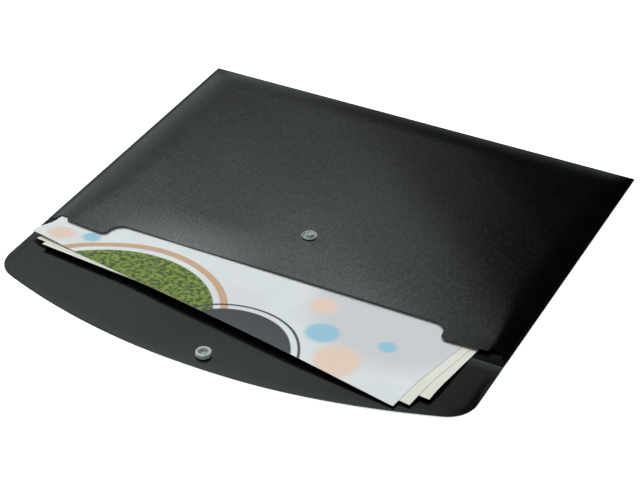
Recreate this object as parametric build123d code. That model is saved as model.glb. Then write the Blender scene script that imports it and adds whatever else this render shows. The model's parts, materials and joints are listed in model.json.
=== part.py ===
from build123d import *
import math
import os

# A flat document wallet, folded from one plastic sheet, lying open with three sheets in its pocket.
# Origin: centre of the back panel, on its underside. +X runs along the mouth, +Y from the mouth
# to the closed far fold, +Z up. All sizes are in millimetres.

# Driving dimensions: paper and sheet
paper_long = 297.0
paper_short = 210.0
paper_thickness = 0.15
paper_gap = 0.1
film = 0.5

# Driving dimensions: pocket
side_room = 41.0
depth_room = 30.0
pocket_slack = 1.05
weld_width = 3.0
side_slope = 8.0
far_slope = 20.0

# Driving dimensions: cut-out along the mouth, setbacks measured from the back crease
tab_setback = 4.8
recess_setback = 17.8
weld_setback = 6.5
notch_setback = 12.2
recess_margin = 46.0
notch_width = 10.0
notch_margin = 12.5
recess_round = 9.0
tab_round = 4.0
notch_round = 4.6
notch_lip_round = 1.2
round_share = 0.99

# Driving dimensions: flap
flap_length = 79.8
flap_edge_radius = 450.0
flap_corner_radius = 22.0
crease_clearance = 0.1

# Driving dimensions: press stud
stud_margin = 12.7
snap_radius = 5.8
stud_flange_edge = 0.7
stud_flange_slope = 0.3
stud_shoulder_width = 1.0
stud_undercut = 0.3
stud_head_radius = 2.6
stud_head_height = 1.9
stud_head_bevel = 0.5
socket_height = 3.0
socket_skirt_height = 1.0
socket_rim_width = 1.0
socket_mouth_chamfer = 1.0
socket_floor = 0.8
snap_clearance = 0.1
cap_thickness = 0.6
cap_bevel = 0.2
stud_cap_radius = 5.0
post_radius = 1.3
post_clearance = 0.1
post_depth = 1.6

# Driving dimensions: how the sheets lie, turned about Z and lifted past the mouth
far_corner_room = {"top_sheet": 4.6, "middle_sheet": 2.7, "bottom_sheet": 3.9}
front_reach = {"top_sheet": 16.2, "middle_sheet": 20.2, "bottom_sheet": 24.6}
turn = {"top_sheet": 9.8, "middle_sheet": 8.0, "bottom_sheet": 5.3}
curl_run = 38.0
curl_rise = 4.4
curl_crest = 11.0
curl_tail = 39.0
curl_drop = 3.5
curl_radius = 90.0
mouth_to_curl = 1.8

# Worked out: outline and levels. The stud's inner cap hangs clear above the stack of sheets
layers = ["bottom_sheet", "middle_sheet", "top_sheet"]
stack_height = len(layers) * (paper_gap + paper_thickness)
half_width = (paper_long + side_room) / 2
half_depth = (paper_short + depth_room) / 2
weld_top = 2 * film
front_under = film + stack_height + pocket_slack + cap_thickness
front_top = front_under + film
weld_edge = half_width - weld_width
plateau_edge = weld_edge - side_slope
fold_line = half_depth - film
plateau_far = fold_line - far_slope

# Worked out: creases. The closed flap lies level above the front panel, its socket on the stud
back_crease_y = -half_depth
back_crease_z = film / 2
stud_flange_height = stud_flange_edge + stud_flange_slope
spine_width = front_top + stud_flange_height + snap_clearance + socket_height
flap_crease_z = cap_thickness + film / 2
spine_tilt = math.degrees(math.asin((flap_crease_z - back_crease_z) / spine_width))
flap_crease_y = back_crease_y - spine_width * math.cos(math.radians(spine_tilt))
crease_gap = film / 2 + crease_clearance
flap_top = cap_thickness + film
flap_tip_y = flap_crease_y - flap_length
stud_setback = flap_length - stud_margin
stud_y = back_crease_y + stud_setback
socket_y = flap_crease_y - stud_setback


def prism(outline, bottom, top):
    """A plan outline raised from one height to another."""
    return Pos(0, 0, bottom) * extrude(outline, amount=top - bottom)


def along_width(profile, half_length):
    """A profile drawn in (Y, Z), extruded both ways along X."""
    return extrude(Plane.YZ * profile, amount=half_length, both=True)


def turned(points):
    """A solid of revolution about Z from its (radius, height) profile."""
    return revolve(Plane.XZ * make_face(Polyline(*points, close=True)), Axis.Z)


def rounds_that_fit(points, rounds):
    """Corner rounds of a square-cornered path, cut back where two want more than their shared edge."""
    fitted = list(rounds)
    for corner in range(1, len(points)):
        edge = math.dist(points[corner - 1], points[corner])
        before = rounds[corner - 2] if corner > 1 else 0
        after = rounds[corner - 1] if corner <= len(rounds) else 0
        share = min(1, round_share * edge / (before + after))
        if corner > 1:
            fitted[corner - 2] = min(fitted[corner - 2], share * before)
        if corner <= len(rounds):
            fitted[corner - 1] = min(fitted[corner - 1], share * after)
    return fitted


def mouth_outline():
    """Plan of the front sheet: thumb recess, two tabs and two relief notches along the mouth."""
    recess_edge = half_width - recess_margin
    notch_inner = half_width - notch_margin - notch_width / 2
    notch_outer = notch_inner + notch_width
    right_half = [
        (recess_edge, recess_setback, recess_round),
        (recess_edge, tab_setback, tab_round),
        (notch_inner, tab_setback, notch_lip_round),
        (notch_inner, notch_setback, notch_round),
        (notch_outer, notch_setback, notch_round),
        (notch_outer, weld_setback, notch_lip_round),
    ]
    left_half = [(-x, y, r) for x, y, r in reversed(right_half)]
    corners = left_half + right_half
    points = [(-half_width, back_crease_y + weld_setback)]
    points += [(x, back_crease_y + setback) for x, setback, _ in corners]
    points += [(half_width, back_crease_y + weld_setback)]
    mouth = FilletPolyline(*points, radius=rounds_that_fit(points, [r for _, _, r in corners]))
    closed_sides = Polyline(points[-1], (half_width, fold_line), (-half_width, fold_line), points[0])
    return make_face(mouth + closed_sides)


def stud_hole(y, bottom, top):
    """The hole that a stud's post passes through."""
    return Pos(0, y, 0) * prism(Circle(post_radius + post_clearance), bottom, top)


def back_panel():
    """Flat rear sheet, from the back crease to the far fold."""
    front = back_crease_y + crease_gap
    outline = Polyline(
        (-half_width, front), (half_width, front), (half_width, fold_line), (-half_width, fold_line), close=True
    )
    return prism(make_face(outline), 0, film)


def front_panel():
    """Raised level part of the front sheet, cut out along the mouth."""
    level = Polyline(
        (-plateau_edge, back_crease_y),
        (plateau_edge, back_crease_y),
        (plateau_edge, plateau_far),
        (-plateau_edge, plateau_far),
        close=True,
    )
    panel = prism(mouth_outline() & make_face(level), front_under, front_top)
    return panel - stud_hole(stud_y, front_under, front_top)


def side_seam(side):
    """Side of the front sheet: it slopes down and is welded flat onto the back panel."""
    profile = Polyline(
        (plateau_edge, front_top),
        (weld_edge, weld_top),
        (half_width, weld_top),
        (half_width, film),
        (weld_edge, film),
        (plateau_edge, front_under),
        close=True,
    )
    strip = extrude(Plane.XZ * make_face(profile), amount=2 * half_depth, both=True)
    mitre = Polyline(
        (plateau_edge, back_crease_y),
        (half_width, back_crease_y),
        (half_width, fold_line),
        (weld_edge, fold_line),
        (plateau_edge, plateau_far),
        close=True,
    )
    seam = strip & prism(mouth_outline() & make_face(mitre), film, front_top)
    return seam if side > 0 else mirror(seam, about=Plane.YZ)


def bottom_fold():
    """Closed far edge: the sheet turns over the fold and slopes up to the front panel."""
    slope_profile = Polyline(
        (plateau_far, front_top), (fold_line, weld_top), (fold_line, film), (plateau_far, front_under), close=True
    )
    mitre = Polyline(
        (-plateau_edge, plateau_far),
        (plateau_edge, plateau_far),
        (weld_edge, fold_line),
        (-weld_edge, fold_line),
        close=True,
    )
    slope = along_width(make_face(slope_profile), half_width) & prism(make_face(mitre), film, front_top)
    turn_over = ThreePointArc((fold_line, 0), (half_depth, film), (fold_line, weld_top))
    bead_profile = make_face(turn_over + Line((fold_line, weld_top), (fold_line, 0)))
    return slope + along_width(bead_profile, half_width)


def spine_strip():
    """Narrow strip between the two creases, round along both so that it turns on them."""
    middle = Pos((back_crease_y + flap_crease_y) / 2, (back_crease_z + flap_crease_z) / 2)
    profile = middle * Rot(0, 0, -spine_tilt) * SlotCenterToCenter(spine_width, film)
    return along_width(profile, half_width)


def flap():
    """Closing flap: straight sides, rounded corners and one shallow arc along its free edge."""
    rear = flap_crease_y - crease_gap
    arc_drop = flap_edge_radius - math.sqrt(flap_edge_radius**2 - half_width**2)
    left, right = (-half_width, flap_tip_y + arc_drop), (half_width, flap_tip_y + arc_drop)
    edge = ThreePointArc(left, (0, flap_tip_y), right)
    sides = Polyline(right, (half_width, rear), (-half_width, rear), left)
    outline = make_face(edge + sides)
    outline = fillet(outline.vertices().group_by(Axis.Y)[0], flap_corner_radius)
    return prism(outline, cap_thickness, flap_top) - stud_hole(socket_y, cap_thickness, flap_top)


def stud():
    """Male half of the press stud, on the front panel's outer face."""
    hole = post_radius + post_clearance
    shoulder = stud_head_radius + stud_shoulder_width
    neck = stud_head_radius - stud_undercut
    top = stud_flange_height + stud_head_height
    head_low = stud_flange_height + stud_head_height / 2 - stud_head_bevel / 2
    profile = [
        (hole, 0),
        (snap_radius, 0),
        (snap_radius, stud_flange_edge),
        (shoulder, stud_flange_height),
        (neck, stud_flange_height),
        (neck, head_low),
        (stud_head_radius, head_low + stud_head_bevel),
        (stud_head_radius, top - stud_head_bevel),
        (stud_head_radius - stud_head_bevel, top),
        (0, top),
        (0, post_depth),
        (hole, post_depth),
    ]
    return Pos(0, stud_y, front_top) * turned(profile)


def socket():
    """Female half of the press stud, on the flap's inner face."""
    hole = post_radius + post_clearance
    bore = stud_head_radius + snap_clearance
    mouth = bore + socket_mouth_chamfer
    bore_top = socket_height - socket_mouth_chamfer
    profile = [
        (hole, 0),
        (snap_radius, 0),
        (snap_radius, socket_skirt_height),
        (mouth + socket_rim_width, socket_height),
        (mouth, socket_height),
        (bore, bore_top),
        (bore, socket_floor),
        (hole, socket_floor),
    ]
    return Pos(0, socket_y, flap_top) * turned(profile)


def rivet_cap(radius, post_height):
    """A bevelled disc under a sheet, with the post that holds the stud half above it."""
    profile = [
        (0, -film - cap_thickness),
        (radius - cap_bevel, -film - cap_thickness),
        (radius, -film - cap_thickness + cap_bevel),
        (radius, -film),
        (post_radius, -film),
        (post_radius, post_height),
        (0, post_height),
    ]
    return turned(profile)


def stud_cap():
    """Inner cap of the stud, inside the pocket."""
    return Pos(0, stud_y, front_top) * rivet_cap(stud_cap_radius, post_depth - post_clearance)


def socket_cap():
    """Outer cap of the socket, which the open flap rests on."""
    return Pos(0, socket_y, flap_top) * rivet_cap(snap_radius, socket_floor)


def sheet_path(height):
    """Side line of the paper in (Y, Z): flat in the pocket, lifted past the mouth, then drooping."""
    lift = back_crease_y + tab_setback - mouth_to_curl
    crest_rear = lift - curl_run
    crest_front = crest_rear - curl_crest
    points = [
        (half_depth, height),
        (lift, height),
        (crest_rear, height + curl_rise),
        (crest_front, height + curl_rise),
        (crest_front - curl_tail, height + curl_rise - curl_drop),
    ]
    rise_angle = math.atan2(curl_rise, curl_run)
    drop_angle = math.atan2(curl_drop, curl_tail)
    crest_room = curl_crest / (math.tan(rise_angle / 2) + math.tan(drop_angle / 2))
    return FilletPolyline(*points, radius=min(curl_radius, round_share * crest_room))


def paper_sheet(name, layer):
    """One sheet of paper, turned in the pocket; layer 0 lies on the back panel."""
    angle = math.radians(turn[name])
    front_left_x = weld_edge - far_corner_room[name]
    front_left_x -= paper_long * math.cos(angle) + paper_short * math.sin(angle)
    front_left = Pos(front_left_x, back_crease_y - front_reach[name]) * Rot(0, 0, -turn[name])
    outline = front_left * Rectangle(paper_long, paper_short, align=(Align.MIN, Align.MIN))
    low = film + paper_gap + layer * (paper_thickness + paper_gap)
    under = sheet_path(low)
    upper = sheet_path(low + paper_thickness)
    ends = Line(under @ 0, upper @ 0) + Line(under @ 1, upper @ 1)
    band = along_width(make_face(under + upper + ends), half_width)
    return band & prism(outline, 0, low + paper_thickness + curl_rise)


def all_nodes():
    """Every node of the wallet, by name."""
    nodes = {
        "back_panel": back_panel(),
        "front_panel": front_panel(),
        "left_seam": side_seam(-1),
        "right_seam": side_seam(1),
        "bottom_fold": bottom_fold(),
        "spine_strip": spine_strip(),
        "flap": flap(),
        "stud": stud(),
        "stud_cap": stud_cap(),
        "socket": socket(),
        "socket_cap": socket_cap(),
    }
    for layer, name in enumerate(layers):
        nodes[name] = paper_sheet(name, layer)
    return nodes


os.makedirs("parts", exist_ok=True)
for node_name, node in all_nodes().items():
    export_step(node, f"parts/{node_name}.step")

print("back crease", back_crease_y, back_crease_z)
print("flap crease", round(flap_crease_y, 4), flap_crease_z)
print("spine width", spine_width, "tilt at rest", round(spine_tilt, 4))
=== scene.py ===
"""Looks of the document wallet: a black film pocket with a flap and a press stud, and three paper sheets."""

import json
import logging
import math
from collections.abc import Callable, Sequence
from dataclasses import dataclass
from enum import Enum, IntEnum
from typing import Any

import bpy
from mathutils import Matrix, Vector


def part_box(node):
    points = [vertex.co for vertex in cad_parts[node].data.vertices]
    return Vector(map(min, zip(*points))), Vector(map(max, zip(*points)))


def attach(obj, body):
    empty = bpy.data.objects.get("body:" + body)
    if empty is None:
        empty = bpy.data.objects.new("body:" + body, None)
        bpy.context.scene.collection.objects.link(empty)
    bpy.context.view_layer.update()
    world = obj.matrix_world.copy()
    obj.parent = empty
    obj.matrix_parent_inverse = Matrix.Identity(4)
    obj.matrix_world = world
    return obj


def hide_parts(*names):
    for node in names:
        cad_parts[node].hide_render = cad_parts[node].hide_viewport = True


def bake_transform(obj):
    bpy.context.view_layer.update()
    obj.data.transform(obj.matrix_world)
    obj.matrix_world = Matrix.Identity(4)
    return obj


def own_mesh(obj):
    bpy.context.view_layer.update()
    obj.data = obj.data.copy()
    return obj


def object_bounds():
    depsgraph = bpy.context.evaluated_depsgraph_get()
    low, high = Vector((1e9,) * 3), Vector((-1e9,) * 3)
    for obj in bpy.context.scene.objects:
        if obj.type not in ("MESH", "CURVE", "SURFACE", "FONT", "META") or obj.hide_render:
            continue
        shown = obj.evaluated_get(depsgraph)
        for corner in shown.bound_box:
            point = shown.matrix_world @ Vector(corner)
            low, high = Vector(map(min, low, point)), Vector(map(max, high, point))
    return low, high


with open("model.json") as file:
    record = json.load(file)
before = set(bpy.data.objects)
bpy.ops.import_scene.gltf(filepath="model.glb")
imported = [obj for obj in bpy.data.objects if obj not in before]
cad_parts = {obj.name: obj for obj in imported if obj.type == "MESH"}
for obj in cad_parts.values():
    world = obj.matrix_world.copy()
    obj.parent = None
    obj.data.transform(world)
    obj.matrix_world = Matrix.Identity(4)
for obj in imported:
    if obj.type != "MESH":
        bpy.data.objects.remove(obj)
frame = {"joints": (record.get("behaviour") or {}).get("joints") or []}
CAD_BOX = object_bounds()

LOG = logging.getLogger("document_wallet")
MM = 0.001
HAIR = 0.001 * MM
SHEET_CREASE = 40.0
Piece = bpy.types.Object
Material = bpy.types.Material
Socket = bpy.types.NodeSocket
Colour = tuple[float, float, float]
Point = tuple[float, float, float]
Pair = tuple[float, float]


class Face(IntEnum):
    """Material slots of a thin sheet: the side its rows face, the other side, and its cut edge."""

    FRONT = 0
    BACK = 1
    EDGE = 2


class Paper(Enum):
    """The three loose sheets, each named for its node and body."""

    BOTTOM = "bottom_sheet"
    MIDDLE = "middle_sheet"
    TOP = "top_sheet"


class Row(Enum):
    """What the value of a row of points on the film means."""

    BAND = "share of the band beside the mouth's edge"
    LEVEL = "place from mouth to far fold"
    BEAD = "angle round the far fold"
    SPINE = "share of the spine"
    EDGE = "distance from the flap's free edge"
    SHARE = "share of the flap between its edge and its crease"
    NEAR = "distance from the flap's crease"


RowPlace = tuple[Row, float]


def tint(red: int, green: int, blue: int) -> Colour:
    """A colour for the shaders from its three display levels.

    Args:
        red: Display level from 0 to 255.
        green: Display level from 0 to 255.
        blue: Display level from 0 to 255.

    Returns:
        The same colour in linear light.
    """
    def one(level: int) -> float:
        """One level in linear light."""
        share = level / 255
        return share / 12.92 if share <= 0.04045 else ((share + 0.055) / 1.055) ** 2.4

    return one(red), one(green), one(blue)


def clamp(value: float) -> float:
    """The value, held between 0 and 1."""
    return min(1.0, max(0.0, value))


def smooth(value: float) -> float:
    """A soft step from 0 to 1."""
    share = clamp(value)
    return share * share * (3 - 2 * share)


def ramp(place: float, span: Pair) -> float:
    """A soft step from 0 at the span's start to 1 at its end."""
    return smooth((place - span[0]) / (span[1] - span[0]))


def partway(ends: Pair, share: float) -> float:
    """The value at a share of the way from one end to the other."""
    return ends[0] + (ends[1] - ends[0]) * share


def swell(share: float) -> float:
    """Rise of film that bellies up from a seam: steep at first, level at 1."""
    return 1 - (1 - clamp(share)) ** 3


def spaced(start: float, stop: float, step: float) -> list[float]:
    """Even places from start up to stop, without stop.

    Args:
        start: First place.
        stop: End of the stretch.
        step: Longest distance between two places.

    Returns:
        The places in order.
    """
    count = max(1, math.ceil(abs(stop - start) / step - 1e-6))
    return [start + (stop - start) * n / count for n in range(count)]


def mirrored(half: list[float]) -> list[float]:
    """Places from the left side to the right, from those between the middle and the right side."""
    return [-place for place in reversed(half[1:])] + half


def joint(name: str) -> dict[str, Any]:
    """The record's joint of that name."""
    return next(j for j in frame["joints"] if j["name"] == name)


def middle(node: str) -> Vector:
    """Middle of a node's box."""
    low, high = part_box(node)
    return (low + high) / 2


def laid_grid(name: str, columns: Sequence[Any], rows: Sequence[Any],
              place: Callable[[Any, Any], Point]) -> Piece:
    """A grid whose lines are drawn out to the given columns and rows.

    Args:
        name: Name of the piece.
        columns: What place takes for each line across, from left to right.
        rows: What place takes for each line along, in the order of the film.
        place: Gives the point where a column meets a row.

    Returns:
        The new piece, one face thick.
    """
    across, along = len(columns) - 1, len(rows) - 1
    bpy.ops.object.select_all(action="DESELECT")
    bpy.ops.mesh.primitive_grid_add(x_subdivisions=across, y_subdivisions=along, size=1.0)
    piece = bpy.context.object
    piece.name = piece.data.name = name
    for vertex in piece.data.vertices:
        column = columns[round((vertex.co.x + 0.5) * across)]
        row = rows[round((vertex.co.y + 0.5) * along)]
        vertex.co = place(column, row)
    return piece


def dress(piece: Piece, *materials: Material) -> None:
    """Puts materials on a piece.

    Args:
        piece: The piece.
        materials: Its materials, in the order of its slots.
    """
    piece.data.materials.clear()
    for material in materials:
        piece.data.materials.append(material)


def smooth_faces(piece: Piece, angle: float) -> None:
    """Shades a piece smooth.

    Args:
        piece: The piece.
        angle: Edges sharper than this, in degrees, stay sharp.
    """
    bpy.ops.object.select_all(action="DESELECT")
    piece.select_set(True)
    bpy.context.view_layer.objects.active = piece
    bpy.ops.object.shade_smooth_by_angle(angle=math.radians(angle))


def give_body(piece: Piece, thickness: float, offset: float, *sides: Material) -> None:
    """Turns a laid grid into film or paper.

    The slots are filled before the grid is thickened, because the new faces only take slots that exist.

    Args:
        piece: The grid.
        thickness: Thickness of the film or paper.
        offset: -1 puts it behind the grid, 1 in front of it, 0 half each way.
        sides: Materials of the side that the grid faces, of the other side and of the cut edge.
    """
    dress(piece, *sides)
    modifier = piece.modifiers.new("thickness", "SOLIDIFY")
    modifier.thickness = thickness
    modifier.offset = offset
    modifier.material_offset = Face.BACK
    modifier.material_offset_rim = Face.EDGE
    bpy.ops.object.modifier_apply(modifier=modifier.name)
    smooth_faces(piece, SHEET_CREASE)


def turned(name: str, centre: Vector, profile: Sequence[Pair], steps: int) -> Piece:
    """A round piece drawn up ring by ring from the inside of its foot to its crown.

    Args:
        name: Name of the piece.
        centre: Point on the axis that the heights start from.
        profile: Radius and height of each ring, all radii above 0.
        steps: Number of points in a ring.

    Returns:
        The closed piece: hollow where the profile ends in the ring that it starts from, and otherwise with
        both ends drawn to a pole.
    """
    hollow = profile[0] == profile[-1]
    fill = "NOTHING" if hollow else "TRIFAN"
    bpy.ops.object.select_all(action="DESELECT")
    radius, height = profile[0]
    bpy.ops.mesh.primitive_circle_add(vertices=steps, radius=radius, fill_type=fill,
                                      location=centre + Vector((0, 0, height)))
    piece = bpy.context.object
    piece.name = piece.data.name = name
    bpy.ops.object.transform_apply(location=True, rotation=True, scale=True)
    bpy.ops.object.mode_set(mode="EDIT")
    bpy.ops.mesh.select_mode(type="EDGE")
    bpy.ops.mesh.select_all(action="DESELECT")
    bpy.ops.mesh.select_non_manifold()
    for next_radius, next_height in profile[1:]:
        lift = (0, 0, next_height - height)
        bpy.ops.mesh.extrude_region_move(TRANSFORM_OT_translate={"value": lift})
        scale = next_radius / radius
        bpy.ops.transform.resize(value=(scale, scale, 1), center_override=centre)
        radius, height = next_radius, next_height
    if not hollow:
        bpy.ops.mesh.edge_face_add()
        bpy.ops.mesh.select_mode(type="FACE")
        bpy.ops.mesh.poke()
    bpy.ops.mesh.select_all(action="SELECT")
    bpy.ops.mesh.remove_doubles(threshold=HAIR)
    bpy.ops.mesh.normals_make_consistent(inside=False)
    bpy.ops.object.mode_set(mode="OBJECT")
    return piece


class Bench:
    """Node tree of one material or of the world, with short calls for the nodes that the finishes share."""

    noise_roughness: float = 0.55
    pit_softness: float = 0.6

    def __init__(self, owner: Material | bpy.types.World) -> None:
        """Empties the owner's node tree.

        Args:
            owner: The material or world that the nodes belong to.
        """
        owner.use_nodes = True
        self.owner = owner
        self.tree = owner.node_tree
        self.tree.nodes.clear()

    @classmethod
    def material(cls, name: str) -> "Bench":
        """A bench for a new material of that name."""
        return cls(bpy.data.materials.new(name))

    def node(self, kind: str, inputs: dict[Any, Any], **settings: Any) -> bpy.types.Node:
        """Adds a node.

        Args:
            kind: Blender's name for the node.
            inputs: A socket to link or a value to set, by input name or number.
            settings: The node's own options.

        Returns:
            The new node.
        """
        node = self.tree.nodes.new(kind)
        for option, value in settings.items():
            setattr(node, option, value)
        for key, value in inputs.items():
            if isinstance(value, Socket):
                self.tree.links.new(value, node.inputs[key])
            else:
                node.inputs[key].default_value = value
        return node

    def place(self, kind: str = "Object") -> Socket:
        """The piece's own coordinates, or its UV map."""
        return self.node("ShaderNodeTexCoord", {}).outputs[kind]

    def noise(self, place: Socket, size: float, detail: float = 2.0) -> Socket:
        """Cloudy noise with features about that size."""
        inputs = {"Vector": place, "Scale": 1 / size, "Detail": detail,
                  "Roughness": self.noise_roughness}
        return self.node("ShaderNodeTexNoise", inputs).outputs[0]

    def cells(self, place: Socket, size: float) -> Socket:
        """Rounded pits about that size apart."""
        inputs = {"Vector": place, "Scale": 1 / size, "Smoothness": self.pit_softness}
        return self.node("ShaderNodeTexVoronoi", inputs, feature="SMOOTH_F1").outputs["Distance"]

    def scaled(self, value: Socket, source: Pair, target: Pair = (0.0, 1.0)) -> Socket:
        """The value, with the source range drawn softly onto the target range."""
        inputs = {"Value": value, "From Min": source[0], "From Max": source[1],
                  "To Min": target[0], "To Max": target[1]}
        return self.node("ShaderNodeMapRange", inputs, interpolation_type="SMOOTHSTEP").outputs[0]

    def combine(self, first: Socket, second: Socket | float, operation: str = "ADD") -> Socket:
        """Two values added, or combined by another operation."""
        return self.node("ShaderNodeMath", {0: first, 1: second}, operation=operation).outputs[0]

    def mix(self, share: Socket, first: Any, second: Any) -> Socket:
        """One colour over another.

        Args:
            share: How much of the second colour shows.
            first: Colour or colour socket below.
            second: Colour or colour socket above.

        Returns:
            The mixed colour.
        """
        below, above = (c if isinstance(c, Socket) else (*c, 1.0) for c in (first, second))
        return self.node("ShaderNodeMix", {0: share, 6: below, 7: above}, data_type="RGBA").outputs[2]

    def relief(self, height: Socket, depth: float) -> Socket:
        """Normals of a surface with relief of that depth."""
        inputs = {"Height": height, "Distance": depth, "Strength": 1.0}
        return self.node("ShaderNodeBump", inputs).outputs[0]

    def finish(self, **inputs: Any) -> Material:
        """Ends the material in a shader.

        Args:
            inputs: The shader's inputs, named with _ for each space.

        Returns:
            The material.
        """
        named = {name.replace("_", " "): value for name, value in inputs.items()}
        shader = self.node("ShaderNodeBsdfPrincipled", named)
        self.node("ShaderNodeOutputMaterial", {"Surface": shader.outputs[0]})
        return self.owner


@dataclass(frozen=True)
class FilmFinish:
    """Black polypropylene film with a pressed grain."""

    name: str
    shade: Colour
    rubbed: Colour
    grain: float
    depth: float
    roughness: Pair
    sheen: Pair
    grain_detail: float = 3.0
    pit_spread: float = 1.6
    pit_share: float = 0.5
    cloud_spread: float = 40
    worn: Pair = (0.2, 0.45)
    rough_grain: Pair = (0.25, 0.75)
    shiny_grain: Pair = (0.4, 0.62)

    def material(self) -> Material:
        """Mixes the finish.

        Returns:
            The film's material.
        """
        bench = Bench.material(self.name)
        place = bench.place()
        grain = bench.noise(place, self.grain, self.grain_detail)
        pits = bench.cells(place, self.grain * self.pit_spread)
        height = bench.combine(grain, bench.combine(pits, self.pit_share, "MULTIPLY"))
        cloud = bench.noise(place, self.grain * self.cloud_spread)
        wear = bench.scaled(bench.combine(cloud, grain, "MULTIPLY"), self.worn)
        return bench.finish(
            Base_Color=bench.mix(wear, self.shade, self.rubbed),
            Roughness=bench.scaled(grain, self.rough_grain, self.roughness),
            Specular_IOR_Level=bench.scaled(grain, self.shiny_grain, self.sheen),
            Normal=bench.relief(height, self.depth),
        )


@dataclass(frozen=True)
class FrostedFinish:
    """Cloudy grey plastic that lets a little light through, as on moulded press studs."""

    name: str = "frosted_plastic"
    clear: Colour = tint(170, 176, 176)
    cloudy: Colour = tint(212, 216, 215)
    cloud: float = 1.4 * MM
    cloud_edge: Pair = (0.3, 0.7)
    grain: float = 0.25 * MM
    grain_edge: Pair = (0.2, 0.8)
    depth: float = 0.012 * MM
    roughness: Pair = (0.28, 0.42)
    clearness: float = 0.2
    milkiness: float = 0.75
    scatter: float = 2.5 * MM
    refraction: float = 1.49

    def material(self) -> Material:
        """Mixes the finish.

        Returns:
            The plastic's material.
        """
        bench = Bench.material(self.name)
        place = bench.place()
        cloud = bench.scaled(bench.noise(place, self.cloud), self.cloud_edge)
        grain = bench.noise(place, self.grain)
        return bench.finish(
            Base_Color=bench.mix(cloud, self.clear, self.cloudy),
            Roughness=bench.scaled(grain, self.grain_edge, self.roughness),
            Transmission_Weight=self.clearness,
            Subsurface_Weight=self.milkiness,
            Subsurface_Radius=(1.0, 1.0, 1.0),
            Subsurface_Scale=self.scatter,
            IOR=self.refraction,
            Normal=bench.relief(grain, self.depth),
        )


@dataclass(frozen=True)
class PaperFinish:
    """Uncoated office paper with its fibres."""

    name: str
    white: Colour
    shade: Colour
    fibre: float = 0.35 * MM
    fibre_detail: float = 4.0
    fibre_edge: Pair = (0.2, 0.8)
    cloud: float = 22 * MM
    mottling: Pair = (0.75, 1.25)
    depth: float = 0.006 * MM
    roughness: Pair = (0.7, 0.9)
    sheen: float = 0.3

    def ground(self, bench: Bench) -> tuple[Socket, Socket]:
        """Lays out the paper's surface.

        Args:
            bench: The material that the paper is part of.

        Returns:
            Its colour and the height of its fibres.
        """
        place = bench.place()
        fibres = bench.noise(place, self.fibre, self.fibre_detail)
        cloud = bench.noise(place, self.cloud)
        mottle = bench.scaled(bench.combine(fibres, cloud), self.mottling)
        return bench.mix(mottle, self.shade, self.white), fibres

    def material(self) -> Material:
        """Mixes the finish.

        Returns:
            The paper's material.
        """
        bench = Bench.material(self.name)
        colour, fibres = self.ground(bench)
        return bench.finish(
            Base_Color=colour,
            Roughness=bench.scaled(fibres, self.fibre_edge, self.roughness),
            Specular_IOR_Level=self.sheen,
            Normal=bench.relief(fibres, self.depth),
        )


@dataclass(frozen=True)
class Disc:
    """One round shape of the print, in millimetres on the sheet from its front left corner."""

    x: float
    y: float
    radius: float
    colour: Colour
    second: Colour | None = None
    ring: float | None = None
    edge: float = 0.5


@dataclass(frozen=True)
class PrintFinish(PaperFinish):
    """Paper with a plain printed pattern of discs and rings over a pale wash."""

    roughness: Pair = (0.5, 0.7)
    sheen: float = 0.35
    sheet: Pair = (297.0, 210.0)
    wash: Colour = tint(214, 213, 214)
    wash_size: float = 99.0
    wash_edge: Pair = (0.4, 0.65)
    leaf: float = 3.2
    leaf_detail: float = 5.0
    leaf_edge: Pair = (0.38, 0.62)
    discs: tuple[Disc, ...] = ()

    def ground(self, bench: Bench) -> tuple[Socket, Socket]:
        """Lays out the paper's surface with its print.

        Args:
            bench: The material that the paper is part of.

        Returns:
            Its colour and the height of its fibres.
        """
        colour, fibres = super().ground(bench)
        inputs = {"Vector": bench.place("UV"), "Scale": (*self.sheet, 1.0)}
        place = bench.node("ShaderNodeMapping", inputs).outputs[0]
        cloud = bench.noise(place, self.wash_size)
        colour = bench.mix(bench.scaled(cloud, self.wash_edge), colour, self.wash)
        leaf = bench.scaled(bench.noise(place, self.leaf, self.leaf_detail), self.leaf_edge)
        for disc in self.discs:
            ink = disc.colour if disc.second is None else bench.mix(leaf, disc.colour, disc.second)
            colour = bench.mix(self.stamp(bench, place, disc), colour, ink)
        return colour, fibres

    def stamp(self, bench: Bench, place: Socket, disc: Disc) -> Socket:
        """Where a disc or ring of the print shows.

        Args:
            bench: The material that the print is part of.
            place: Place on the sheet, in millimetres.
            disc: The shape.

        Returns:
            1 inside the shape and 0 outside it.
        """
        inputs = {0: place, 1: (disc.x, disc.y, 0.0)}
        away = bench.node("ShaderNodeVectorMath", inputs, operation="DISTANCE").outputs["Value"]
        if disc.ring is None:
            return bench.scaled(away, (disc.radius + disc.edge, disc.radius - disc.edge))
        off = bench.combine(bench.combine(away, disc.radius, "SUBTRACT"), 0.0, "ABSOLUTE")
        return bench.scaled(off, (disc.ring / 2 + disc.edge, disc.ring / 2 - disc.edge))


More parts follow.
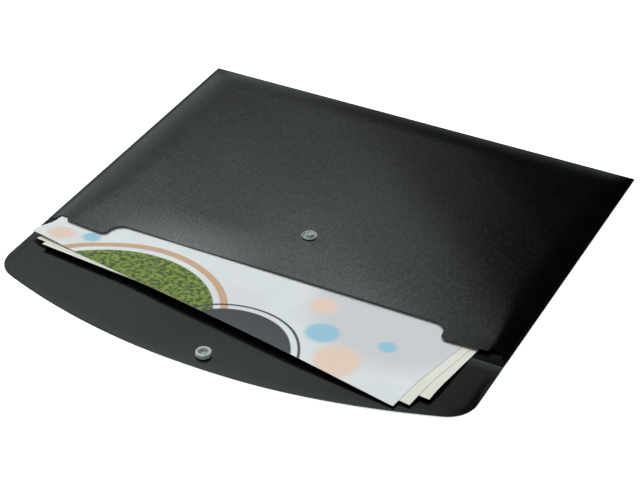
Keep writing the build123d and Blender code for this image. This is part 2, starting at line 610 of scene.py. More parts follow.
@dataclass(frozen=True)
class FloorFinish:
    """Pale table that reads as white and still takes the object's shadow."""

    name: str = "pale_table"
    colour: Colour = (0.86, 0.86, 0.86)
    tone: Colour = (0.93, 1.0, 1.0)
    glow: float = 0.6

    def material(self) -> Material:
        """Mixes the finish.

        Returns:
            The table's material.
        """
        bench = Bench.material(self.name)
        plain = bench.node("ShaderNodeBsdfDiffuse", {"Color": (*self.colour, 1.0)}).outputs[0]
        path = bench.node("ShaderNodeLightPath", {}).outputs
        seen = bench.combine(path["Is Camera Ray"], path["Is Glossy Ray"])
        seen = bench.combine(seen, path["Is Transmission Ray"])
        strength = bench.combine(seen, self.glow, "MULTIPLY")
        glow = bench.node("ShaderNodeEmission", {"Color": (*self.tone, 1.0), "Strength": strength})
        both = bench.node("ShaderNodeAddShader", {0: plain, 1: glow.outputs[0]})
        bench.node("ShaderNodeOutputMaterial", {"Surface": both.outputs[0]})
        return bench.owner


GREEN, MOSS = tint(52, 74, 28), tint(128, 142, 58)
SLATE, TAN, PEACH = tint(58, 62, 66), tint(196, 160, 132), tint(228, 200, 184)
LILAC, BLUE = tint(206, 202, 205), tint(150, 192, 212)
PRINT = (
    Disc(250, 84, 64, LILAC, edge=14),
    Disc(98, -34, 68, GREEN, MOSS),
    Disc(98, -34, 75, TAN, ring=5),
    Disc(184, -22, 42, SLATE),
    Disc(184, -22, 47, SLATE, ring=1.8),
    Disc(222, 30, 11, BLUE, edge=2.5),
    Disc(246, 12, 15, PEACH, edge=3),
    Disc(204, 56, 9, PEACH, edge=2.5),
    Disc(262, 44, 6, BLUE, edge=2),
    Disc(16, 12, 9, PEACH, edge=3),
    Disc(34, 22, 6, BLUE, edge=2),
)


@dataclass
class Finishes:
    """All materials of the object, made once."""

    def __post_init__(self) -> None:
        """Makes the materials."""
        black, rubbed = tint(4, 5, 5), tint(9, 10, 10)
        self.grained = FilmFinish("grained_film", black, rubbed, grain=1.0 * MM, depth=0.015 * MM,
                                  roughness=(0.09, 0.14), sheen=(0.35, 0.67)).material()
        self.plain = FilmFinish("inner_film", black, rubbed, grain=0.9 * MM, depth=0.003 * MM,
                                roughness=(0.18, 0.24), sheen=(0.15, 0.21)).material()
        self.cut = FilmFinish("cut_film", tint(18, 19, 19), tint(30, 31, 31), grain=0.3 * MM,
                              depth=0.02 * MM, roughness=(0.4, 0.6), sheen=(0.4, 0.5)).material()
        self.frosted = FrostedFinish().material()
        # Darker copy of the frosted plastic: partly the black film seen through thin plastic, partly painted
        # shade in the stud's dish and ring groove, the socket's bore and the post seen down it.
        self.thin = FrostedFinish("thin_and_painted_shade_frosted_plastic", clear=tint(137, 142, 142),
                                  cloudy=tint(171, 174, 173)).material()
        self.paper = PaperFinish("plain_paper", white=tint(228, 223, 214),
                                 shade=tint(221, 216, 205)).material()
        self.printed = PrintFinish("printed_paper", white=tint(225, 224, 224), shade=tint(217, 217, 218),
                                   discs=PRINT).material()


@dataclass
class Fold:
    """Film's line from the back sheet over the spine to the flap, with a low ridge at the back crease."""

    film: float = 0.5 * MM
    skim: float = 0.02 * MM
    bend: float = 1.2 * MM
    rows: int = 40
    ridge: Pair = (0.32 * MM, 0.46 * MM)
    ridge_span: Pair = (144 * MM, 162 * MM)
    ridge_run: float = 12 * MM
    rest: float = 0.34 * MM
    flatten: float = 1.9

    def __post_init__(self) -> None:
        """Takes both creases from the frame."""
        self.crease = Vector(joint("spine_fold")["pos_m"])
        self.flap_crease = Vector(joint("flap_fold")["pos_m"])

    def crest(self, x: float) -> float:
        """Height of the ridge over the back sheet: pressed low by the paper, higher to the right of it."""
        return partway(self.ridge, ramp(x, self.ridge_span))

    def back(self, x: float, y: float) -> float:
        """Height of the back sheet's middle, which climbs to the ridge.

        Args:
            x: Place across the wallet.
            y: Place from mouth to far fold.

        Returns:
            The height above the table.
        """
        near = clamp(1 - (y - self.crease.y) / self.ridge_run)
        return self.crease.z + self.crest(x) * near * near

    def spine(self, x: float, share: float) -> Point:
        """Point of the spine's middle, which falls from the ridge and flattens into the flap.

        Args:
            x: Place across the wallet.
            share: Share of the way from the back crease to the flap's crease.

        Returns:
            The point.
        """
        top = self.crease.z + self.crest(x)
        y = self.crease.y + (self.flap_crease.y - self.crease.y) * share
        return x, y, self.rest + (top - self.rest) * (1 - share) ** self.flatten


@dataclass
class Pocket:
    """Front and back sheets of the pocket, with the welded sides, the far fold and half of the spine."""

    fold: Fold
    weld: float = 3 * MM
    weld_thinning: float = 0.2 * MM
    left_run: Pair = (24 * MM, 34 * MM)
    right_run: Pair = (13 * MM, 21 * MM)
    side_reach: float = 60 * MM
    far_run: float = 26 * MM
    lip_start: float = 17.8 * MM
    lip_run: float = 38 * MM
    lip: Pair = (0.1 * MM, 1.25 * MM)
    lip_place: float = -62 * MM
    lip_span: float = 75 * MM
    ripple: float = 0.07 * MM
    ripple_waves: tuple[float, float, float] = (19 * MM, 41 * MM, 24 * MM)
    ripple_phase: float = 0.6
    stud_calm: float = 30 * MM
    recess_setback: float = 20.2 * MM
    recess_margin: float = 46 * MM
    recess_round: float = 9.8 * MM
    tab_setback: Pair = (5.4 * MM, 8 * MM)
    tab_round: float = 5 * MM
    notch_setback: float = 12.2 * MM
    notch_width: float = 8.5 * MM
    notch_margin: float = 9.25 * MM
    notch_round: float = 2.6 * MM
    tab_lip: float = 1.6 * MM
    lip_round: float = 1.4 * MM
    weld_setback: float = 8.2 * MM
    weld_ends: Pair = (7.4 * MM, 2.8 * MM)
    wall: float = 0.05 * MM
    column_step: float = 4 * MM
    tab_step: float = 2 * MM
    notch_step: float = 0.4 * MM
    lip_step: float = 0.8 * MM
    weld_columns: int = 8
    side_band: float = 6 * MM
    side_step: float = 1.5 * MM
    mouth_band: float = 9 * MM
    mouth_rows: int = 9
    level_step: float = 3.5 * MM
    slope_step: float = 1.6 * MM
    back_step: float = 6 * MM
    ridge_step: float = 0.25 * MM
    bead_rows: int = 12
    bead_turn: float = 15

    def __post_init__(self) -> None:
        """Takes the main sizes from the frame."""
        self.film = self.fold.film
        self.half_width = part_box("back_panel")[1].x
        self.far_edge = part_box("bottom_fold")[1].y
        self.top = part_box("front_panel")[1].z
        self.stud_y = middle("stud").y
        self.crease = self.fold.crease
        self.weld_edge = self.half_width - self.weld
        self.weld_top = 2 * self.film
        self.fold_line = self.far_edge - self.film
        self.recess_edge = self.half_width - self.recess_margin
        self.notch_inner = self.half_width - self.notch_margin - self.notch_width / 2
        self.notch_outer = self.notch_inner + self.notch_width

    def setback(self, x: float) -> float:
        """How far the front sheet's mouth edge stands back from the crease.

        Args:
            x: Place across the wallet.

        Returns:
            The distance from the crease, made of straight runs joined by quarter rounds.
        """
        across = abs(x)
        recess, notch = (self.recess_setback,) * 2, (self.notch_setback,) * 2
        weld = (self.weld_setback, self.weld_ends[x > 0])
        stretches = (
            (0.0, self.recess_edge, recess, 0.0, self.recess_round, -1),
            (self.recess_edge, self.notch_inner, self.tab_setback, self.tab_round, self.tab_lip, 1),
            (self.notch_inner, self.notch_outer, notch, self.notch_round, self.notch_round, -1),
            (self.notch_outer, self.half_width, weld, self.lip_round, 0.0, 1),
        )
        start, end, levels, first, last, way = next(s for s in stretches if across <= s[1] + HAIR)
        level = partway(levels, (across - start) / (end - start))
        into = max(0.0, start + first - across, across - end + last)
        radius = first if across < start + first else last
        return level + way * (radius - math.sqrt(max(0.0, radius * radius - into * into)))

    def columns(self) -> list[float]:
        """Places across the front sheet, close together where the mouth edge turns.

        Returns:
            The places from the left side to the right.
        """
        def arc(centre: float, radius: float, first: float, last: float, steps: int) -> list[float]:
            """Places along a round from its first to its last angle, evenly spaced by angle."""
            turns = [math.radians(partway((first, last), n / steps)) for n in range(steps)]
            return [centre + radius * math.sin(turn) for turn in turns]

        places = spaced(0, self.recess_edge - self.recess_round, self.column_step)
        places += arc(self.recess_edge - self.recess_round, self.recess_round, first=0, last=90, steps=10)
        places += arc(self.recess_edge + self.tab_round, self.tab_round, first=-90, last=0, steps=7)
        places += spaced(self.recess_edge + self.tab_round, self.notch_inner - self.tab_lip, self.tab_step)
        places += arc(self.notch_inner - self.tab_lip, self.tab_lip, first=0, last=80, steps=6)
        places += [self.notch_inner - self.wall, self.notch_inner + self.wall]
        crown = self.notch_inner + self.notch_round, self.notch_outer - self.notch_round
        places += arc(crown[0], self.notch_round, first=-78, last=0, steps=7)
        places += spaced(*crown, self.notch_step)
        places += arc(crown[1], self.notch_round, first=0, last=84, steps=7)
        places += arc(self.notch_outer + self.lip_round, self.lip_round, first=-84, last=0, steps=5)
        places += spaced(self.notch_outer + self.lip_round, self.weld_edge, self.lip_step)
        places += spaced(self.weld_edge, self.half_width, self.weld / self.weld_columns)
        return mirrored(places + [self.half_width])

    def height(self, x: float, y: float) -> float:
        """Height of the front sheet's outer face.

        Args:
            x: Place across the wallet.
            y: Place from mouth to far fold.

        Returns:
            The height: welded at the sides, folded at the far edge, bellied between, with a turned-down lip.
        """
        inside = self.weld_edge - abs(x)
        depth = y - self.crease.y - self.lip_start
        run = partway(self.left_run if x < 0 else self.right_run, smooth(depth / self.side_reach))
        side = swell(inside / run)
        far = swell((self.fold_line - y) / self.far_run)
        share = clamp(1 - depth / self.lip_run)
        near = smooth(1 - abs(x - self.lip_place) / self.lip_span)
        droop = (self.lip[0] + self.lip[1] * near) * share * share
        slanting, leaning, along = self.ripple_waves
        wave = self.ripple * math.sin(x / slanting + y / leaning) * math.sin(y / along - self.ripple_phase)
        away = clamp(math.hypot(x, y - self.stud_y) / self.stud_calm)
        body = (self.top - self.weld_top - droop) * side * far + wave * side * far * smooth(away)
        return self.weld_top + body - self.weld_thinning * clamp(-inside / self.weld)

    def front_sheet(self, finishes: Finishes) -> Piece:
        """The front sheet, with its thumb recess, two tabs and two relief notches.

        Args:
            finishes: The object's materials.

        Returns:
            The dressed piece.
        """
        band_end = self.crease.y + self.recess_setback + self.mouth_band
        far_start = self.fold_line - self.far_run
        rows = [(Row.BAND, n / self.mouth_rows) for n in range(self.mouth_rows)]
        rows += [(Row.LEVEL, y) for y in spaced(band_end, far_start, self.level_step)]
        rows += [(Row.LEVEL, y) for y in spaced(far_start, self.fold_line, self.slope_step)]
        rows.append((Row.LEVEL, self.fold_line))

        def place(x: float, row: RowPlace) -> Point:
            """Finds a point of the outer face.

            Args:
                x: Place across the wallet.
                row: The row that crosses there.

            Returns:
                The point.
            """
            kind, y = row
            if kind is Row.BAND:
                y = partway((self.crease.y + self.setback(x), band_end), y)
            return x, y, self.height(x, y)

        piece = laid_grid("front_sheet", self.columns(), rows, place)
        give_body(piece, self.film, -1, finishes.grained, finishes.plain, finishes.cut)
        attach(piece, "pocket")
        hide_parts("front_panel", "left_seam", "right_seam", "bottom_fold")
        return piece

    def back_sheet(self, finishes: Finishes) -> Piece:
        """The back sheet, from the far fold's bead to the middle of the spine.

        Args:
            finishes: The object's materials.

        Returns:
            The dressed piece.
        """
        bead = self.film / 2
        slope = self.crease.y + self.fold.ridge_run
        rows = [(Row.BEAD, math.radians(90 - self.bead_turn * n)) for n in range(self.bead_rows)]
        rows += [(Row.LEVEL, y) for y in spaced(self.fold_line, slope, self.back_step)]
        rows += [(Row.LEVEL, y) for y in spaced(slope, self.crease.y, self.ridge_step)]
        rows += [(Row.SPINE, n / self.fold.rows) for n in range(self.fold.rows // 2 + 1)]
        near = self.half_width - self.side_band
        half = spaced(0, near, self.column_step) + spaced(near, self.half_width, self.side_step)

        def place(x: float, row: RowPlace) -> Point:
            """Finds a point of the film's middle.

            Args:
                x: Place across the wallet.
                row: The row that crosses there.

            Returns:
                The point.
            """
            kind, value = row
            if kind is Row.BEAD:
                return x, self.fold_line + bead * math.cos(value), self.film + bead * math.sin(value)
            return self.fold.spine(x, value) if kind is Row.SPINE else (x, value, self.fold.back(x, value))

        piece = laid_grid("back_sheet", mirrored(half + [self.half_width]), rows, place)
        give_body(piece, self.film - self.fold.skim, 0, finishes.grained, finishes.plain, finishes.cut)
        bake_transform(piece)
        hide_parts("back_panel", "spine_strip")
        return piece


@dataclass
class Closure:
    """Closing flap with the other half of the spine.

    Its grid has lines close together at the sides and at the free edge: side_lines and edge_lines are their
    distances from there, in millimetres.
    """

    fold: Fold
    edge_radius: float = 450 * MM
    corner_radius: float = 22 * MM
    rim_width: float = 5 * MM
    rim_share: float = 0.25
    rim_drop: Pair = (0.13 * MM, 0.4 * MM)
    lift: float = 1.6 * MM
    lift_span: Pair = (10 * MM, 160 * MM)
    propped: Pair = (60 * MM, 8 * MM)
    near_bends: int = 3
    near_rows: int = 18
    share_rows: int = 24
    tail: float = 7 * MM
    column_step: float = 5 * MM
    side_lines: tuple[float, ...] = (0, 0.06, 0.2, 0.45, 0.8, 1.3, 1.9, 2.6, 3.4, 4.4, 5.5,
                                     7, 9, 12, 16, 22)
    edge_lines: tuple[float, ...] = (0, 0.25, 0.6, 1.1, 1.8, 2.6, 3.5, 4.5, 5.7)

    def __post_init__(self) -> None:
        """Takes the main sizes from the frame."""
        low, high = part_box("flap")
        self.half_width = high.x
        self.crease = self.fold.flap_crease
        self.socket = middle("socket")
        self.tip = low.y
        self.arc_y = self.tip + self.edge_radius
        self.corner_x = self.half_width - self.corner_radius
        inner = self.edge_radius - self.corner_radius
        self.corner_y = self.arc_y - math.sqrt(inner ** 2 - self.corner_x ** 2)
        self.corner_turn = self.corner_x * self.edge_radius / inner

    def reach(self, x: float) -> float:
        """Length of the flap from its crease to its free edge.

        Args:
            x: Place across the flap.

        Returns:
            The length, along a wide arc with rounded corners.
        """
        across = abs(x)
        if across <= self.corner_turn:
            edge = self.arc_y - math.sqrt(self.edge_radius ** 2 - across ** 2)
        else:
            out = min(self.corner_radius, across - self.corner_x)
            edge = self.corner_y - math.sqrt(self.corner_radius ** 2 - out ** 2)
        return self.crease.y - edge

    def from_edge(self, x: float, y: float) -> float:
        """Distance from a point of the flap to its nearest free edge.

        Args:
            x: Place across the flap.
            y: Place along the flap.

        Returns:
            The distance inwards from the edge.
        """
        across = abs(x)
        out = Vector((across - self.corner_x, y - self.corner_y))
        axis = Vector((self.corner_x, self.corner_y - self.arc_y)).normalized()
        along = out.y / axis.y
        if along > 0 and out.x - along * axis.x > 0:
            return self.corner_radius - out.length
        arc = self.edge_radius - math.hypot(across, y - self.arc_y)
        return min(arc, self.half_width - across)

    def height(self, x: float, y: float) -> float:
        """Height of the middle of the flap's film.

        Args:
            x: Place across the flap.
            y: Place along the flap.

        Returns:
            The height: flat on the table, propped by the socket's cap, a little sprung towards the free edge.
        """
        out = (self.crease.y - y) / (self.crease.y - self.tip)
        prop = ramp(math.hypot(x - self.socket.x, y - self.socket.y), self.propped)
        spring = self.lift * ramp(x, self.lift_span) * out * out
        rim = clamp(1 - self.from_edge(x, y) / self.rim_width)
        drop = partway(self.rim_drop, smooth((abs(x) - self.corner_x) / self.corner_radius))
        base = partway((self.fold.rest, self.crease.z), prop)
        return max(self.fold.film / 2, base + spring - drop * rim * smooth(out / self.rim_share))

    def flap_sheet(self, finishes: Finishes) -> Piece:
        """The flap and the half of the spine beside it.

        Args:
            finishes: The object's materials.

        Returns:
            The dressed piece.
        """
        near = self.near_bends * self.fold.bend
        side = [self.half_width - line * MM for line in reversed(self.side_lines)]
        columns = mirrored(spaced(0, side[0], self.column_step) + side)
        rows = [(Row.EDGE, line * MM) for line in self.edge_lines]
        rows += [(Row.SHARE, 1 - n / self.share_rows) for n in range(self.share_rows + 1)]
        rows += [(Row.NEAR, near * (1 - n / self.near_rows)) for n in range(1, self.near_rows + 1)]
        rows += [(Row.SPINE, n / self.fold.rows) for n in range(1, self.fold.rows // 2 + 1)]

        def place(x: float, row: RowPlace) -> Point:
            """Finds a point of the film's middle.

            Args:
                x: Place across the flap.
                row: The row that crosses there.

            Returns:
                The point.
            """
            kind, value = row
            if kind is Row.SPINE:
                return self.fold.spine(x, 1 - value)
            reach = self.reach(x)
            away = {Row.EDGE: reach - value, Row.NEAR: value,
                    Row.SHARE: near + value * (reach - near - self.tail)}[kind]
            y = self.crease.y - away
            return x, y, self.height(x, y)

        piece = laid_grid("flap_sheet", columns, rows, place)
        give_body(piece, self.fold.film - self.fold.skim, 0, finishes.plain, finishes.grained, finishes.cut)
        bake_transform(piece)
        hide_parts("flap")
        return piece


@dataclass
class PressStud:
    """Stud on the pocket and socket on the flap, each held by a cap on the film's other side."""

    steps: int = 64
    crease: float = 50
    slits: int = 6
    slit_turn: float = 0.16
    slit_heights: Pair = (0.8 * MM, 1.7 * MM)
    slit_rim: float = 0.06 * MM
    slit_depth: float = 0.5 * MM
    wall_from: float = 4.5 * MM
    wall_lean: float = 0.1
    flange_from: float = 2.9 * MM
    dish: Pair = (1.9 * MM, 2.0 * MM)
    bore: Pair = (2.85 * MM, 0.7 * MM)
    post: Pair = (0.62 * MM, 0.7 * MM)

    def rings(self, *points: Pair) -> list[Pair]:
        """A profile given in millimetres."""
        return [(radius * MM, height * MM) for radius, height in points]

    def settle(self, piece: Piece, node: str, body: str, finishes: Finishes) -> Piece:
        """Dresses a round piece and hangs it on its body.

        Args:
            piece: The turned piece.
            node: The node that it stands for.
            body: The body that it moves with.
            finishes: The object's materials.

        Returns:
            The same piece.
        """
        # The second slot is the darker plastic, partly painted shade for the hollows.
        dress(piece, finishes.frosted, finishes.thin)
        smooth_faces(piece, self.crease)
        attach(piece, body)
        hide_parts(node)
        return piece

    def darken_thin_and_shaded_faces(self, piece: Piece, base: Vector, thin: Callable[[float, float], bool]) -> None:
        """Gives faces the darker finish: partly the black film under thin plastic, partly painted shade in
        hollows.

        Args:
            piece: The dressed piece.
            base: Point on its axis that heights start from.
            thin: Tells from a face's radius and height whether it takes the darker finish of thin plastic and
                painted shade.
        """
        for face in piece.data.polygons:
            spot = face.center - base
            face.material_index = int(thin(math.hypot(spot.x, spot.y), spot.z))

    def base(self, node: str) -> Vector:
        """Middle of a node's lowest face."""
        low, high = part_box(node)
        return Vector((*((low + high) / 2).xy, low.z))

    def stud(self, finishes: Finishes) -> Piece:
        """Flanged stud with a ring groove and a waisted knob.

        Args:
            finishes: The object's materials.

        Returns:
            The dressed piece.
        """
        profile = self.rings((1.4, 1.6), (1.4, -0.15), (4.2, -0.15), (4.2, 0.3), (4.7, 0.44), (5.2, 0.52),
                             (5.38, 0.64), (5.4, 0.78), (5.32, 0.94), (5.12, 1.04), (4.86, 1.05),
                             (4.66, 0.95), (4.5, 0.7), (4.3, 0.46), (3.9, 0.38), (3.2, 0.38), (2.75, 0.5),
                             (2.48, 0.8), (2.34, 1.2), (2.35, 1.55), (2.46, 1.85), (2.57, 2.1), (2.6, 2.35),
                             (2.53, 2.6), (2.32, 2.8), (2.1, 2.9), (1.92, 2.84), (1.8, 2.6), (1.72, 2.3),
                             (1.5, 2.12), (1.0, 2.08), (0.3, 2.08))
        base = self.base("stud")
        piece = turned("stud_knob", base, profile, self.steps)
        self.settle(piece, "stud", "pocket", finishes)
        # Thin plastic and painted shade: the flange with its ring groove, and the knob's dish, take the
        # darker finish.
        width, floor = self.dish
        self.darken_thin_and_shaded_faces(piece, base, lambda radius, height: radius > self.flange_from
                      or (radius < width and height > floor))
        return piece

    def socket(self, finishes: Finishes) -> Piece:
        """Socket with a stepped skirt, a rounded mouth and slits round its wall.

        Args:
            finishes: The object's materials.

        Returns:
            The dressed piece.
        """
        profile = self.rings((1.4, 0.8), (1.4, 0), (5.0, 0), (5.0, 0.1), (5.28, 0.2), (5.36, 0.32),
                             (5.36, 0.6), (5.28, 0.72), (5.26, 0.8), (5.26, 1.7), (5.24, 1.9), (5.16, 2.3),
                             (4.98, 2.65), (4.7, 2.88), (4.34, 3.0), (4.0, 3.0), (3.7, 2.9), (3.5, 2.7),
                             (3.35, 2.4), (3.3, 2.1), (3.2, 1.9), (2.8, 1.75), (2.72, 1.6), (2.7, 1.0),
                             (2.62, 0.86), (2.4, 0.8), (1.6, 0.8), (1.4, 0.8))
        base = self.base("socket")
        piece = turned("socket_ring", base, profile, self.steps)
        self.cut_slits(piece, base)
        self.settle(piece, "socket", "flap", finishes)
        # The floor of the bore takes the darker finish: painted shade in the hollow, over thin plastic.
        width, floor = self.bore
        self.darken_thin_and_shaded_faces(piece, base, lambda radius, height: radius < width and height > floor)
        return piece

    def cut_slits(self, piece: Piece, base: Vector) -> None:
        """Presses slits into the upright wall of the socket.

        Args:
            piece: The socket.
            base: Middle of its foot.
        """
        pitch = 2 * math.pi / self.slits
        foot, head = self.slit_heights
        bpy.ops.object.mode_set(mode="EDIT")
        bpy.ops.mesh.select_all(action="DESELECT")
        bpy.ops.object.mode_set(mode="OBJECT")
        for face in piece.data.polygons:
            spot = face.center - base
            turn = math.atan2(spot.y, spot.x) % pitch
            upright = abs(face.normal.z) < self.wall_lean and math.hypot(spot.x, spot.y) > self.wall_from
            face.select = upright and foot < spot.z < head and abs(turn - pitch / 2) < self.slit_turn
        bpy.ops.object.mode_set(mode="EDIT")
        bpy.ops.mesh.inset(thickness=self.slit_rim, depth=-self.slit_depth)
        bpy.ops.object.mode_set(mode="OBJECT")

    def stud_cap(self, finishes: Finishes) -> Piece:
        """Inner cap, with the post that the stud is pressed on.

        Args:
            finishes: The object's materials.

        Returns:
            The dressed piece.
        """
        profile = self.rings((0.6, 0.06), (2.6, 0.04), (4.6, 0), (4.9, 0.06), (5.0, 0.2), (5.0, 0.6),
                             (1.3, 0.6), (1.3, 2.4), (1.1, 2.6), (0.6, 2.66))
        piece = turned("stud_backing_cap", self.base("stud_cap"), profile, self.steps)
        return self.settle(piece, "stud_cap", "pocket", finishes)

    def socket_cap(self, finishes: Finishes) -> Piece:
        """Outer cap, dished a little, with the post that the socket is pressed on.

        Args:
            finishes: The object's materials.

        Returns:
            The dressed piece.
        """
        profile = self.rings((0.6, 0.1), (2.6, 0.08), (4.2, 0.03), (5.2, 0), (5.6, 0.07), (5.8, 0.24),
                             (5.8, 0.6), (1.3, 0.6), (1.3, 1.95), (1.1, 2.2), (0.6, 2.32))
        base = self.base("socket_cap")
        piece = turned("socket_outer_cap", base, profile, self.steps)
        self.settle(piece, "socket_cap", "flap", finishes)
        # The post, seen down the socket's bore, takes the darker finish as painted shade.
        tip, foot = self.post
        self.darken_thin_and_shaded_faces(piece, base, lambda radius, height: radius > tip and height > foot)
        return piece

    def build(self, finishes: Finishes) -> list[Piece]:
        """All four pieces."""
        makers = self.stud, self.stud_cap, self.socket, self.socket_cap
        return [make(finishes) for make in makers]


@dataclass
class LooseSheet:
    """One A4 sheet that bows up out of the mouth and sinks again to its front edge.

    It is made in two parts that meet just outside the mouth: the part in the pocket and the overhang.
    """

    kind: Paper
    long: float = 297 * MM
    short: float = 210 * MM
    thickness: float = 0.15 * MM
    lift_setback: float = 3 * MM
    mouth_setback: float = 4 * MM
    run: float = 38 * MM
    rise: float = 4.4 * MM
    crest: float = 11 * MM
    tail: float = 39 * MM
    drop: float = 3.5 * MM
    bend: float = 5.2 * MM
    ripple: float = 0.12 * MM
    ripple_wave: float = 34 * MM
    ripple_phase: float = 0.8
    sag: float = 1.0 * MM
    sag_span: Pair = (30 * MM, 140 * MM)
    curl: float = 2.2 * MM
    curl_span: Pair = (-110 * MM, -162 * MM)
    curl_run: float = 15 * MM
    keep: float = 0.035
    column_step: float = 4 * MM
    held_rows: int = 30
    held_crowding: float = 2
    overhang_rows: int = 56
    overhang_crowding: float = 1.2

    def __post_init__(self) -> None:
        """Takes the sheet's place and turn, and its lines near the mouth, from the frame."""
        crease_y = joint("spine_fold")["pos_m"][1]
        self.lift_y = crease_y + self.lift_setback
        self.mouth_y = crease_y + self.mouth_setback
        low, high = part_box(self.kind.value)
        pull = Vector(joint(f"{self.kind.value}_slide")["axis"])
        self.depth = -Vector((pull.x, pull.y, 0)).normalized()
        self.across = Vector((self.depth.y, -self.depth.x, 0))
        far_left = Vector((low.x + self.depth.x * self.short, high.y, low.z))
        self.corner = far_left - self.depth * self.short

    def bow(self, y: float) -> float:
        """How far the paper stands above its place inside the pocket.

        Args:
            y: Place from front to far side.

        Returns:
            The height of a line of straight runs joined by soft bends.
        """
        up, down = self.rise / self.run, self.drop / self.tail
        crest_start = self.lift_y - self.run
        bends = ((self.lift_y, up), (crest_start, -up), (crest_start - self.crest, -down))
        height = 0.0
        for start, slope in bends:
            past = start - y
            if past >= self.bend:
                height += slope * past
            elif past > -self.bend:
                height += slope * (past + self.bend) ** 2 / (4 * self.bend)
        return height

    def crossing(self, u: float) -> float:
        """Distance from the sheet's front edge to the line before the mouth, at a place across the sheet."""
        return (self.mouth_y - self.corner.y - self.across.y * u) / self.depth.y

    def part(self, name: str, rows: Sequence[float], ends: Callable[[float], Pair],
             finishes: Finishes) -> Piece:
        """One part of the sheet, printed if the sheet is the top one.

        Args:
            name: Name of the part.
            rows: Shares of the way from the part's near end to its far end.
            ends: Distance of both ends from the sheet's front edge, by place across the sheet.
            finishes: The object's materials.

        Returns:
            The dressed piece.
        """
        columns = spaced(0, self.long, self.column_step) + [self.long]
        top = self.kind is Paper.TOP

        def place(u: float, share: float) -> Point:
            """Finds a point of the sheet's upper face.

            Args:
                u: Place across the sheet.
                share: Share of the way from the part's near end to its far end.

            Returns:
                The point: bowed, a little wavy, sagging at the right, and curled at the top sheet's left.
            """
            spot = self.corner + self.across * u + self.depth * partway(ends(u), share)
            free = smooth((self.lift_y - spot.y) / self.run)
            wave = self.ripple * math.sin(spot.x / self.ripple_wave + self.ripple_phase)
            wave -= self.sag * ramp(spot.x, self.sag_span)
            aside = ramp(spot.x, self.curl_span) * clamp((self.mouth_y - spot.y) / self.curl_run)
            curl = self.curl * aside if top else 0.0
            return spot.x, spot.y, spot.z + self.thickness + self.bow(spot.y) + wave * free + curl

        piece = laid_grid(name, columns, rows, place)
        face = finishes.printed if top else finishes.paper
        give_body(piece, self.thickness, -1, face, finishes.paper, finishes.paper)
        chart = piece.data.uv_layers.active.data
        for loop in piece.data.loops:
            spot = piece.data.vertices[loop.vertex_index].co - self.corner
            chart[loop.index].uv = (spot.dot(self.across) / self.long, spot.dot(self.depth) / self.short)
        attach(piece, self.kind.value)
        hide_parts(self.kind.value)
        return piece

    def build(self, finishes: Finishes) -> list[Piece]:
        """The part in the pocket, and the overhang out in front of the mouth.

        Args:
            finishes: The object's materials.

        Returns:
            Both pieces.
        """
        held = [(n / self.held_rows) ** self.held_crowding for n in range(self.held_rows + 1)]
        loose = [1 - (1 - n / self.overhang_rows) ** self.overhang_crowding
                 for n in range(self.overhang_rows + 1)]
        name = self.kind.value
        inside = self.part(name + "_paper", held, lambda u: (self.crossing(u), self.short), finishes)
        overhang = self.part(name + "_overhang", loose, lambda u: (0.0, self.crossing(u)), finishes)
        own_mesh(overhang)
        return [inside, overhang]


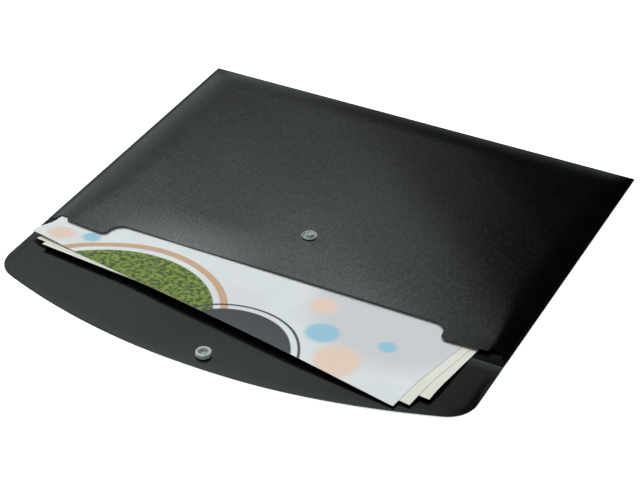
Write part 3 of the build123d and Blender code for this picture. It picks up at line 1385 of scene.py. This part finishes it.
@dataclass
class Studio:
    """Pale table, soft light and the camera at the photograph's place."""

    aim: Vector = Vector((6.24 * MM, -49.39 * MM, 0))
    distance: float = 1277.77 * MM
    azimuth: float = 26.943
    elevation: float = 34.836
    roll: float = 0.454
    focal_pixels: float = 1898.26
    image_width: float = 640
    sensor: float = 36.0
    clip: Pair = (0.01, 100)
    table: float = 12.0
    cool: Colour = (0.93, 1.0, 1.0)
    glow_right: Pair = (20.5, 28.2)
    glow_left: Pair = (130, 100)
    glow_height: Pair = (29.5, 43)
    glow: Pair = (0.34, 2.7)
    glow_slant: Pair = (0, 2.5)
    glow_level: Pair = (25, 45)
    side_turn: Pair = (30, 42)
    side: float = 0.3
    horizon_rise: Pair = (36, 4)
    horizon: float = 0.2
    fill_turn: float = 20
    fill_rise: float = 35
    fill_edge: Pair = (0.2, 1.0)
    fill: float = 0.4
    lamp_turn: float = 222
    lamp_rise: float = 74
    lamp_distance: float = 1.6
    lamp_size: float = 0.95
    lamp_watts: float = 9

    def direction(self, azimuth: float, elevation: float) -> Vector:
        """Unit vector to a place seen from the object.

        Args:
            azimuth: Degrees round from the front, towards the right.
            elevation: Degrees above the table.

        Returns:
            The vector.
        """
        turn, rise = math.radians(azimuth), math.radians(elevation)
        return Vector((math.sin(turn) * math.cos(rise), -math.cos(turn) * math.cos(rise), math.sin(rise)))

    def lamp(self) -> None:
        """Hangs one square soft light high over the far side, facing the object."""
        data = bpy.data.lights.new("overhead_softbox", "AREA")
        data.size, data.energy, data.color = self.lamp_size, self.lamp_watts, self.cool
        light = bpy.data.objects.new("overhead_softbox", data)
        toward = self.direction(self.lamp_turn, self.lamp_rise)
        light.location = self.aim + toward * self.lamp_distance
        light.rotation_euler = toward.to_track_quat("Z", "Y").to_euler()
        bpy.context.scene.collection.objects.link(light)

    def build(self) -> None:
        """Lays the table, hangs the light and sets the camera."""
        bpy.ops.object.select_all(action="DESELECT")
        bpy.ops.mesh.primitive_plane_add(size=self.table, location=(0, 0, CAD_BOX[0].z))
        table = bpy.context.object
        table.name = "table"
        dress(table, FloorFinish().material())
        self.room()
        self.lamp()
        bpy.context.scene.view_settings.view_transform = "Standard"
        self.camera()

    def room(self) -> None:
        """Lights the room with a broad glow at the back on the left and a weak fill at the front."""
        world = bpy.data.worlds.new("studio")
        bench = Bench(world)
        place = bench.place("Generated")
        x, y, z = bench.node("ShaderNodeSeparateXYZ", {0: place}).outputs
        height = bench.combine(z, 0.0, "ARCSINE")
        right, left, rise, level, slant, turn, low = ([math.radians(angle) for angle in pair] for pair in (
            self.glow_right, self.glow_left, self.glow_height, self.glow_level, self.glow_slant,
            self.side_turn, self.horizon_rise))
        bearing = bench.combine(bench.combine(x, -1.0, "MULTIPLY"), y, "ARCTAN2")
        leant = bench.combine(bearing, bench.scaled(height, level, slant))
        side = bench.scaled(bearing, turn, (0.0, self.side))
        band = bench.combine(bench.scaled(height, rise, self.glow), side)
        glow = bench.combine(bench.scaled(leant, right), bench.scaled(bearing, left), "MULTIPLY")
        horizon = bench.scaled(height, low, (0.0, self.horizon))
        glow = bench.combine(bench.combine(glow, band, "MULTIPLY"), horizon)
        inputs = {0: place, 1: self.direction(self.fill_turn, self.fill_rise)}
        front = bench.node("ShaderNodeVectorMath", inputs, operation="DOT_PRODUCT").outputs["Value"]
        strength = bench.combine(glow, bench.scaled(front, self.fill_edge, (0.0, self.fill)))
        back = bench.node("ShaderNodeBackground", {"Color": (*self.cool, 1.0), "Strength": strength})
        bench.node("ShaderNodeOutputWorld", {"Surface": back.outputs[0]})
        bpy.context.scene.world = world

    def camera(self) -> None:
        """Sets the camera at the photograph's viewing angle."""
        data = bpy.data.cameras.new("camera")
        data.sensor_width = self.sensor
        data.lens = self.focal_pixels * self.sensor / self.image_width
        data.clip_start, data.clip_end = self.clip
        back = self.direction(self.azimuth, self.elevation)
        turn, roll = math.radians(self.azimuth), math.radians(self.roll)
        right = Vector((math.cos(turn), math.sin(turn), 0))
        up = back.cross(right)
        level, upright = math.cos(roll), math.sin(roll)
        axes = right * level + up * upright, up * level - right * upright, back
        camera = bpy.data.objects.new("camera", data)
        camera.matrix_world = (Matrix.Translation(self.aim + back * self.distance)
                               @ Matrix(axes).transposed().to_4x4())
        bpy.context.scene.collection.objects.link(camera)
        bpy.context.scene.camera = camera


def main() -> None:
    """Builds the wallet piece by piece, then the studio round it."""
    logging.basicConfig(level=logging.INFO, format="%(name)s: %(message)s")
    finishes = Finishes()
    fold = Fold()
    pocket, closure = Pocket(fold), Closure(fold)
    pieces = [pocket.front_sheet(finishes), pocket.back_sheet(finishes), closure.flap_sheet(finishes)]
    pieces += PressStud().build(finishes)
    for kind in Paper:
        pieces += LooseSheet(kind).build(finishes)
    for piece in pieces:
        LOG.info("%s has %d faces", piece.name, len(piece.data.polygons))
    Studio().build()


if __name__ == "__main__":
    main()
